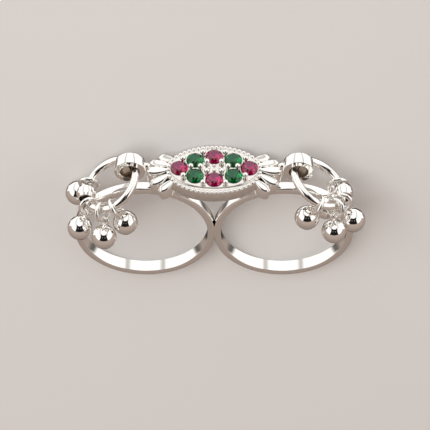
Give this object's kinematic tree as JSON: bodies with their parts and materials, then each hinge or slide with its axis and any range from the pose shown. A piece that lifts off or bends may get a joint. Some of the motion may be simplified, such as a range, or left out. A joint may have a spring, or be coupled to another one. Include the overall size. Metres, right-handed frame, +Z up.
{
  "type": "two-finger ring",
  "caption": "Silver two-finger ring with a beaded oval head of ruby and emerald stones, leaf petals at both ends and loose hoops of hanging ball drops.",
  "frame": {"origin": "bottom centre of the whole ring as it lies on its back on a table", "axes": "+X along the head, from the wearer's right-hand end to the left-hand end; -Y from the finger bands to the head; +Z up, towards the front of the ring"},
  "size_m": [0.0404, 0.0254, 0.0125],
  "materials": {
    "silver": "polished silver",
    "ruby": "cut and polished",
    "emerald": "cut and polished"
  },
  "bodies": {
    "root": {"ring_frame": "silver", "ruby_left": "ruby", "ruby_right": "ruby", "ruby_back": "ruby", "ruby_front": "ruby", "emerald_back_left": "emerald", "emerald_back_right": "emerald", "emerald_front_left": "emerald", "emerald_front_right": "emerald", "hoop_left": "silver", "hoop_right": "silver", "hoop_bead_left": "silver", "hoop_bead_right": "silver", "jump_ring_left_1": "silver", "jump_ring_left_2": "silver", "jump_ring_left_3": "silver", "jump_ring_left_4": "silver", "jump_ring_right_1": "silver", "jump_ring_right_2": "silver", "jump_ring_right_3": "silver", "jump_ring_right_4": "silver", "ball_drop_left_1": "silver", "ball_drop_left_2": "silver", "ball_drop_left_3": "silver", "ball_drop_left_4": "silver", "ball_drop_right_1": "silver", "ball_drop_right_2": "silver", "ball_drop_right_3": "silver", "ball_drop_right_4": "silver"}
  },
  "joints": []
}
